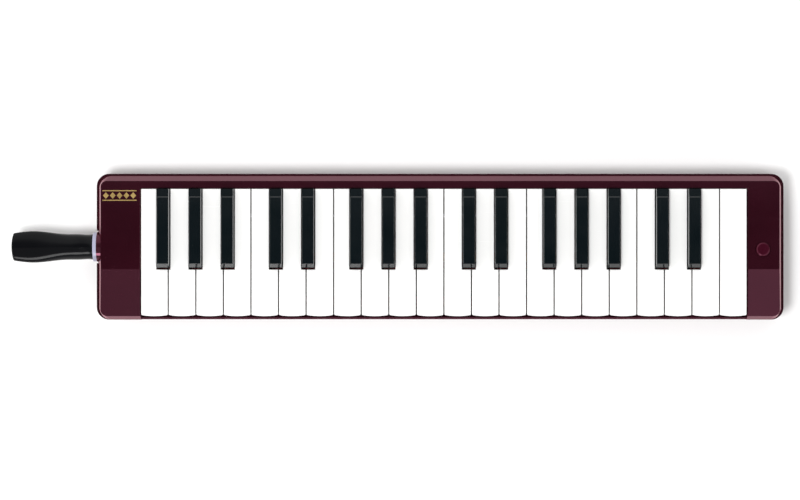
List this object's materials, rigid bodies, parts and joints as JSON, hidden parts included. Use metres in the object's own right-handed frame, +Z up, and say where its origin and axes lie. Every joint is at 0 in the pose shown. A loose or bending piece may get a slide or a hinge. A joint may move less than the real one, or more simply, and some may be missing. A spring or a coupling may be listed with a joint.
{
  "type": "melodica",
  "caption": "Keyboard wind instrument with a burgundy casing, white and black keys, short black mouthpiece, drain button and a hand strap underneath.",
  "frame": {"origin": "middle of the casing's footprint, on the face that it rests on", "axes": "+X towards the treble end with the drain button, +Y away from the player, +Z up out of the key tops"},
  "size_m": [0.5445, 0.1028, 0.048],
  "materials": {
    "case_plastic": "glossy burgundy moulded plastic",
    "white_key_plastic": "polished white moulded plastic",
    "black_key_plastic": "satin gloss black moulded plastic",
    "mouthpiece_plastic": "glossy black moulded plastic",
    "inlet_plastic": "pale cool white moulded plastic",
    "button_plastic": "glossy burgundy moulded plastic",
    "chamber_plastic": "plain ivory moulded plastic",
    "anchor_plastic": "satin black moulded plastic",
    "gasket_rubber": "soft dark rubber",
    "reed_plate_metal": "milled plate",
    "reed_brass": "rolled brass",
    "spring_bronze": "rolled phosphor bronze",
    "steel": "drawn steel",
    "screw_steel": "zinc plated steel",
    "felt": "pressed wool felt",
    "strap_fabric": "woven nylon webbing"
  },
  "bodies": {
    "root": {"upper_case": "case_plastic", "lower_case": "case_plastic", "wind_tray": "chamber_plastic", "chamber_gasket": "gasket_rubber", "reed_plate": "reed_plate_metal", "reed_tongues": "reed_brass", "reed_rivets": "reed_brass", "reed_block": "chamber_plastic", "pivot_rod": "steel", "key_spring_comb": "spring_bronze", "key_stop_felts": "felt", "inlet_elbow": "inlet_plastic", "inlet_ring": "inlet_plastic", "drain_housing": "chamber_plastic", "drain_spring": "steel", "case_screws": "screw_steel", "small_screws": "screw_steel", "hand_strap": "strap_fabric", "strap_anchors": "anchor_plastic"},
    "white_key_f3_body": {"white_key_f3": "white_key_plastic"},
    "black_key_f_sharp3_body": {"black_key_f_sharp3": "black_key_plastic"},
    "white_key_g3_body": {"white_key_g3": "white_key_plastic"},
    "black_key_g_sharp3_body": {"black_key_g_sharp3": "black_key_plastic"},
    "white_key_a3_body": {"white_key_a3": "white_key_plastic"},
    "black_key_a_sharp3_body": {"black_key_a_sharp3": "black_key_plastic"},
    "white_key_b3_body": {"white_key_b3": "white_key_plastic"},
    "white_key_c4_body": {"white_key_c4": "white_key_plastic"},
    "black_key_c_sharp4_body": {"black_key_c_sharp4": "black_key_plastic"},
    "white_key_d4_body": {"white_key_d4": "white_key_plastic"},
    "black_key_d_sharp4_body": {"black_key_d_sharp4": "black_key_plastic"},
    "white_key_e4_body": {"white_key_e4": "white_key_plastic"},
    "white_key_f4_body": {"white_key_f4": "white_key_plastic"},
    "black_key_f_sharp4_body": {"black_key_f_sharp4": "black_key_plastic"},
    "white_key_g4_body": {"white_key_g4": "white_key_plastic"},
    "black_key_g_sharp4_body": {"black_key_g_sharp4": "black_key_plastic"},
    "white_key_a4_body": {"white_key_a4": "white_key_plastic"},
    "black_key_a_sharp4_body": {"black_key_a_sharp4": "black_key_plastic"},
    "white_key_b4_body": {"white_key_b4": "white_key_plastic"},
    "white_key_c5_body": {"white_key_c5": "white_key_plastic"},
    "black_key_c_sharp5_body": {"black_key_c_sharp5": "black_key_plastic"},
    "white_key_d5_body": {"white_key_d5": "white_key_plastic"},
    "black_key_d_sharp5_body": {"black_key_d_sharp5": "black_key_plastic"},
    "white_key_e5_body": {"white_key_e5": "white_key_plastic"},
    "white_key_f5_body": {"white_key_f5": "white_key_plastic"},
    "black_key_f_sharp5_body": {"black_key_f_sharp5": "black_key_plastic"},
    "white_key_g5_body": {"white_key_g5": "white_key_plastic"},
    "black_key_g_sharp5_body": {"black_key_g_sharp5": "black_key_plastic"},
    "white_key_a5_body": {"white_key_a5": "white_key_plastic"},
    "black_key_a_sharp5_body": {"black_key_a_sharp5": "black_key_plastic"},
    "white_key_b5_body": {"white_key_b5": "white_key_plastic"},
    "white_key_c6_body": {"white_key_c6": "white_key_plastic"},
    "black_key_c_sharp6_body": {"black_key_c_sharp6": "black_key_plastic"},
    "white_key_d6_body": {"white_key_d6": "white_key_plastic"},
    "black_key_d_sharp6_body": {"black_key_d_sharp6": "black_key_plastic"},
    "white_key_e6_body": {"white_key_e6": "white_key_plastic"},
    "white_key_f6_body": {"white_key_f6": "white_key_plastic"},
    "drain_valve": {"drain_button": "button_plastic", "drain_valve_disc": "gasket_rubber"},
    "mouthpiece_slide": {"mouthpiece_seal": "gasket_rubber"},
    "mouthpiece_turn": {"mouthpiece": "mouthpiece_plastic"}
  },
  "joints": [
    {"name": "drain_button_press", "type": "slide", "parent": "root", "child": "drain_valve", "axis": [0, 0, -1], "range_m": [0, 0.003], "stiffness_N_per_m": 400, "springref_m": -0.004, "deforming": ["drain_spring"]},
    {"name": "mouthpiece_pull", "type": "slide", "parent": "root", "child": "mouthpiece_slide", "axis": [-1, 0, 0], "range_m": [0, 0.018]},
    {"name": "mouthpiece_twist", "type": "hinge", "parent": "mouthpiece_slide", "child": "mouthpiece_turn", "pos_m": [-0.25, -0.0001, 0.0276], "axis": [1, 0, 0], "continuous": true},
    {"name": "white_key_f3_press", "type": "hinge", "parent": "root", "child": "white_key_f3_body", "pos_m": [0, 0.022, 0.033], "axis": [1, 0, 0], "range_deg": [0, 4.4], "stiffness_Nm_per_rad": 0.25, "springref_deg": -9.17, "deforming": ["key_spring_comb"]},
    {"name": "black_key_f_sharp3_press", "type": "hinge", "parent": "root", "child": "black_key_f_sharp3_body", "pos_m": [0, 0.022, 0.033], "axis": [1, 0, 0], "range_deg": [0, 5.5], "stiffness_Nm_per_rad": 0.25, "springref_deg": -9.17, "deforming": ["key_spring_comb"]},
    {"name": "white_key_g3_press", "type": "hinge", "parent": "root", "child": "white_key_g3_body", "pos_m": [0, 0.022, 0.033], "axis": [1, 0, 0], "range_deg": [0, 4.4], "stiffness_Nm_per_rad": 0.25, "springref_deg": -9.17, "deforming": ["key_spring_comb"]},
    {"name": "black_key_g_sharp3_press", "type": "hinge", "parent": "root", "child": "black_key_g_sharp3_body", "pos_m": [0, 0.022, 0.033], "axis": [1, 0, 0], "range_deg": [0, 5.5], "stiffness_Nm_per_rad": 0.25, "springref_deg": -9.17, "deforming": ["key_spring_comb"]},
    {"name": "white_key_a3_press", "type": "hinge", "parent": "root", "child": "white_key_a3_body", "pos_m": [0, 0.022, 0.033], "axis": [1, 0, 0], "range_deg": [0, 4.4], "stiffness_Nm_per_rad": 0.25, "springref_deg": -9.17, "deforming": ["key_spring_comb"]},
    {"name": "black_key_a_sharp3_press", "type": "hinge", "parent": "root", "child": "black_key_a_sharp3_body", "pos_m": [0, 0.022, 0.033], "axis": [1, 0, 0], "range_deg": [0, 5.5], "stiffness_Nm_per_rad": 0.25, "springref_deg": -9.17, "deforming": ["key_spring_comb"]},
    {"name": "white_key_b3_press", "type": "hinge", "parent": "root", "child": "white_key_b3_body", "pos_m": [0, 0.022, 0.033], "axis": [1, 0, 0], "range_deg": [0, 4.4], "stiffness_Nm_per_rad": 0.25, "springref_deg": -9.17, "deforming": ["key_spring_comb"]},
    {"name": "white_key_c4_press", "type": "hinge", "parent": "root", "child": "white_key_c4_body", "pos_m": [0, 0.022, 0.033], "axis": [1, 0, 0], "range_deg": [0, 4.4], "stiffness_Nm_per_rad": 0.25, "springref_deg": -9.17, "deforming": ["key_spring_comb"]},
    {"name": "black_key_c_sharp4_press", "type": "hinge", "parent": "root", "child": "black_key_c_sharp4_body", "pos_m": [0, 0.022, 0.033], "axis": [1, 0, 0], "range_deg": [0, 5.5], "stiffness_Nm_per_rad": 0.25, "springref_deg": -9.17, "deforming": ["key_spring_comb"]},
    {"name": "white_key_d4_press", "type": "hinge", "parent": "root", "child": "white_key_d4_body", "pos_m": [0, 0.022, 0.033], "axis": [1, 0, 0], "range_deg": [0, 4.4], "stiffness_Nm_per_rad": 0.25, "springref_deg": -9.17, "deforming": ["key_spring_comb"]},
    {"name": "black_key_d_sharp4_press", "type": "hinge", "parent": "root", "child": "black_key_d_sharp4_body", "pos_m": [0, 0.022, 0.033], "axis": [1, 0, 0], "range_deg": [0, 5.5], "stiffness_Nm_per_rad": 0.25, "springref_deg": -9.17, "deforming": ["key_spring_comb"]},
    {"name": "white_key_e4_press", "type": "hinge", "parent": "root", "child": "white_key_e4_body", "pos_m": [0, 0.022, 0.033], "axis": [1, 0, 0], "range_deg": [0, 4.4], "stiffness_Nm_per_rad": 0.25, "springref_deg": -9.17, "deforming": ["key_spring_comb"]},
    {"name": "white_key_f4_press", "type": "hinge", "parent": "root", "child": "white_key_f4_body", "pos_m": [0, 0.022, 0.033], "axis": [1, 0, 0], "range_deg": [0, 4.4], "stiffness_Nm_per_rad": 0.25, "springref_deg": -9.17, "deforming": ["key_spring_comb"]},
    {"name": "black_key_f_sharp4_press", "type": "hinge", "parent": "root", "child": "black_key_f_sharp4_body", "pos_m": [0, 0.022, 0.033], "axis": [1, 0, 0], "range_deg": [0, 5.5], "stiffness_Nm_per_rad": 0.25, "springref_deg": -9.17, "deforming": ["key_spring_comb"]},
    {"name": "white_key_g4_press", "type": "hinge", "parent": "root", "child": "white_key_g4_body", "pos_m": [0, 0.022, 0.033], "axis": [1, 0, 0], "range_deg": [0, 4.4], "stiffness_Nm_per_rad": 0.25, "springref_deg": -9.17, "deforming": ["key_spring_comb"]},
    {"name": "black_key_g_sharp4_press", "type": "hinge", "parent": "root", "child": "black_key_g_sharp4_body", "pos_m": [0, 0.022, 0.033], "axis": [1, 0, 0], "range_deg": [0, 5.5], "stiffness_Nm_per_rad": 0.25, "springref_deg": -9.17, "deforming": ["key_spring_comb"]},
    {"name": "white_key_a4_press", "type": "hinge", "parent": "root", "child": "white_key_a4_body", "pos_m": [0, 0.022, 0.033], "axis": [1, 0, 0], "range_deg": [0, 4.4], "stiffness_Nm_per_rad": 0.25, "springref_deg": -9.17, "deforming": ["key_spring_comb"]},
    {"name": "black_key_a_sharp4_press", "type": "hinge", "parent": "root", "child": "black_key_a_sharp4_body", "pos_m": [0, 0.022, 0.033], "axis": [1, 0, 0], "range_deg": [0, 5.5], "stiffness_Nm_per_rad": 0.25, "springref_deg": -9.17, "deforming": ["key_spring_comb"]},
    {"name": "white_key_b4_press", "type": "hinge", "parent": "root", "child": "white_key_b4_body", "pos_m": [0, 0.022, 0.033], "axis": [1, 0, 0], "range_deg": [0, 4.4], "stiffness_Nm_per_rad": 0.25, "springref_deg": -9.17, "deforming": ["key_spring_comb"]},
    {"name": "white_key_c5_press", "type": "hinge", "parent": "root", "child": "white_key_c5_body", "pos_m": [0, 0.022, 0.033], "axis": [1, 0, 0], "range_deg": [0, 4.4], "stiffness_Nm_per_rad": 0.25, "springref_deg": -9.17, "deforming": ["key_spring_comb"]},
    {"name": "black_key_c_sharp5_press", "type": "hinge", "parent": "root", "child": "black_key_c_sharp5_body", "pos_m": [0, 0.022, 0.033], "axis": [1, 0, 0], "range_deg": [0, 5.5], "stiffness_Nm_per_rad": 0.25, "springref_deg": -9.17, "deforming": ["key_spring_comb"]},
    {"name": "white_key_d5_press", "type": "hinge", "parent": "root", "child": "white_key_d5_body", "pos_m": [0, 0.022, 0.033], "axis": [1, 0, 0], "range_deg": [0, 4.4], "stiffness_Nm_per_rad": 0.25, "springref_deg": -9.17, "deforming": ["key_spring_comb"]},
    {"name": "black_key_d_sharp5_press", "type": "hinge", "parent": "root", "child": "black_key_d_sharp5_body", "pos_m": [0, 0.022, 0.033], "axis": [1, 0, 0], "range_deg": [0, 5.5], "stiffness_Nm_per_rad": 0.25, "springref_deg": -9.17, "deforming": ["key_spring_comb"]},
    {"name": "white_key_e5_press", "type": "hinge", "parent": "root", "child": "white_key_e5_body", "pos_m": [0, 0.022, 0.033], "axis": [1, 0, 0], "range_deg": [0, 4.4], "stiffness_Nm_per_rad": 0.25, "springref_deg": -9.17, "deforming": ["key_spring_comb"]},
    {"name": "white_key_f5_press", "type": "hinge", "parent": "root", "child": "white_key_f5_body", "pos_m": [0, 0.022, 0.033], "axis": [1, 0, 0], "range_deg": [0, 4.4], "stiffness_Nm_per_rad": 0.25, "springref_deg": -9.17, "deforming": ["key_spring_comb"]},
    {"name": "black_key_f_sharp5_press", "type": "hinge", "parent": "root", "child": "black_key_f_sharp5_body", "pos_m": [0, 0.022, 0.033], "axis": [1, 0, 0], "range_deg": [0, 5.5], "stiffness_Nm_per_rad": 0.25, "springref_deg": -9.17, "deforming": ["key_spring_comb"]},
    {"name": "white_key_g5_press", "type": "hinge", "parent": "root", "child": "white_key_g5_body", "pos_m": [0, 0.022, 0.033], "axis": [1, 0, 0], "range_deg": [0, 4.4], "stiffness_Nm_per_rad": 0.25, "springref_deg": -9.17, "deforming": ["key_spring_comb"]},
    {"name": "black_key_g_sharp5_press", "type": "hinge", "parent": "root", "child": "black_key_g_sharp5_body", "pos_m": [0, 0.022, 0.033], "axis": [1, 0, 0], "range_deg": [0, 5.5], "stiffness_Nm_per_rad": 0.25, "springref_deg": -9.17, "deforming": ["key_spring_comb"]},
    {"name": "white_key_a5_press", "type": "hinge", "parent": "root", "child": "white_key_a5_body", "pos_m": [0, 0.022, 0.033], "axis": [1, 0, 0], "range_deg": [0, 4.4], "stiffness_Nm_per_rad": 0.25, "springref_deg": -9.17, "deforming": ["key_spring_comb"]},
    {"name": "black_key_a_sharp5_press", "type": "hinge", "parent": "root", "child": "black_key_a_sharp5_body", "pos_m": [0, 0.022, 0.033], "axis": [1, 0, 0], "range_deg": [0, 5.5], "stiffness_Nm_per_rad": 0.25, "springref_deg": -9.17, "deforming": ["key_spring_comb"]},
    {"name": "white_key_b5_press", "type": "hinge", "parent": "root", "child": "white_key_b5_body", "pos_m": [0, 0.022, 0.033], "axis": [1, 0, 0], "range_deg": [0, 4.4], "stiffness_Nm_per_rad": 0.25, "springref_deg": -9.17, "deforming": ["key_spring_comb"]},
    {"name": "white_key_c6_press", "type": "hinge", "parent": "root", "child": "white_key_c6_body", "pos_m": [0, 0.022, 0.033], "axis": [1, 0, 0], "range_deg": [0, 4.4], "stiffness_Nm_per_rad": 0.25, "springref_deg": -9.17, "deforming": ["key_spring_comb"]},
    {"name": "black_key_c_sharp6_press", "type": "hinge", "parent": "root", "child": "black_key_c_sharp6_body", "pos_m": [0, 0.022, 0.033], "axis": [1, 0, 0], "range_deg": [0, 5.5], "stiffness_Nm_per_rad": 0.25, "springref_deg": -9.17, "deforming": ["key_spring_comb"]},
    {"name": "white_key_d6_press", "type": "hinge", "parent": "root", "child": "white_key_d6_body", "pos_m": [0, 0.022, 0.033], "axis": [1, 0, 0], "range_deg": [0, 4.4], "stiffness_Nm_per_rad": 0.25, "springref_deg": -9.17, "deforming": ["key_spring_comb"]},
    {"name": "black_key_d_sharp6_press", "type": "hinge", "parent": "root", "child": "black_key_d_sharp6_body", "pos_m": [0, 0.022, 0.033], "axis": [1, 0, 0], "range_deg": [0, 5.5], "stiffness_Nm_per_rad": 0.25, "springref_deg": -9.17, "deforming": ["key_spring_comb"]},
    {"name": "white_key_e6_press", "type": "hinge", "parent": "root", "child": "white_key_e6_body", "pos_m": [0, 0.022, 0.033], "axis": [1, 0, 0], "range_deg": [0, 4.4], "stiffness_Nm_per_rad": 0.25, "springref_deg": -9.17, "deforming": ["key_spring_comb"]},
    {"name": "white_key_f6_press", "type": "hinge", "parent": "root", "child": "white_key_f6_body", "pos_m": [0, 0.022, 0.033], "axis": [1, 0, 0], "range_deg": [0, 4.4], "stiffness_Nm_per_rad": 0.25, "springref_deg": -9.17, "deforming": ["key_spring_comb"]}
  ]
}
